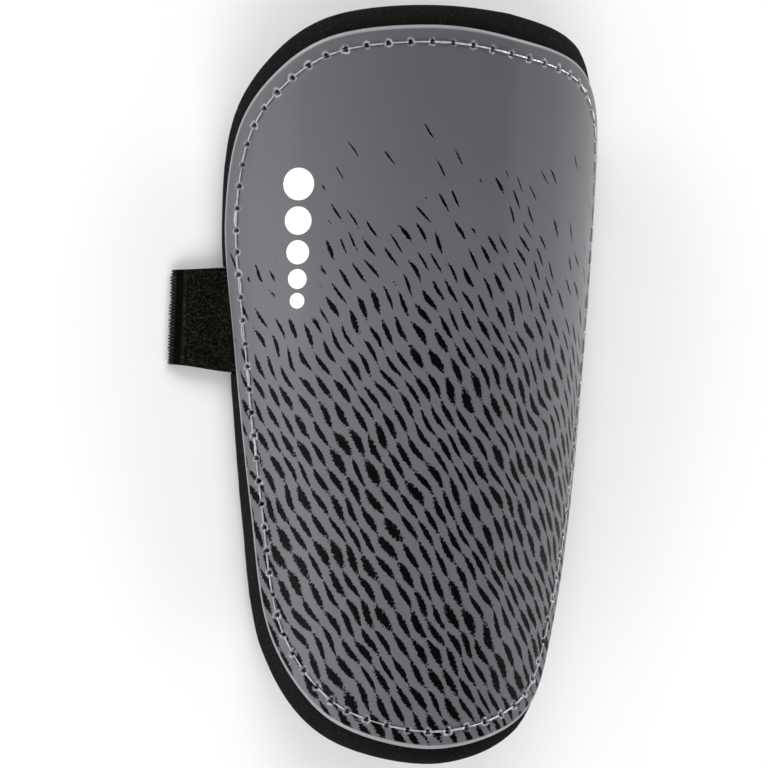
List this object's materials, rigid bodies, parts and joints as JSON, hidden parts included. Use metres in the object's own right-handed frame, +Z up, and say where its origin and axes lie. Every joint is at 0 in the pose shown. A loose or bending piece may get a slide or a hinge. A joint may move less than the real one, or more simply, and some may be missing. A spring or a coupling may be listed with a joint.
{
  "type": "soccer shin guard",
  "caption": "Right-leg soccer shin guard: a glossy printed hard shell on a larger black foam pad, with a black elastic strap folded at its outer side.",
  "frame": {"origin": "on the floor, under the middle of the box round the whole guard and strap", "axes": "+Y towards the knee end, +Z up through the shell, -X towards the side with the strap's fold, which is the wearer's outer side"},
  "size_m": [0.129, 0.216, 0.0451],
  "materials": {
    "printed_shell": "glossy clear shell over a grey print with black marks",
    "black_foam": "matte closed-cell foam with a fine textile skin",
    "black_elastic": "ribbed woven elastic tape",
    "black_loop_pile": "short fuzzy loop pile"
  },
  "bodies": {
    "root": {"shell": "printed_shell", "foam_pad": "black_foam", "elastic_strap": "black_elastic", "loop_panel": "black_loop_pile"}
  },
  "joints": []
}
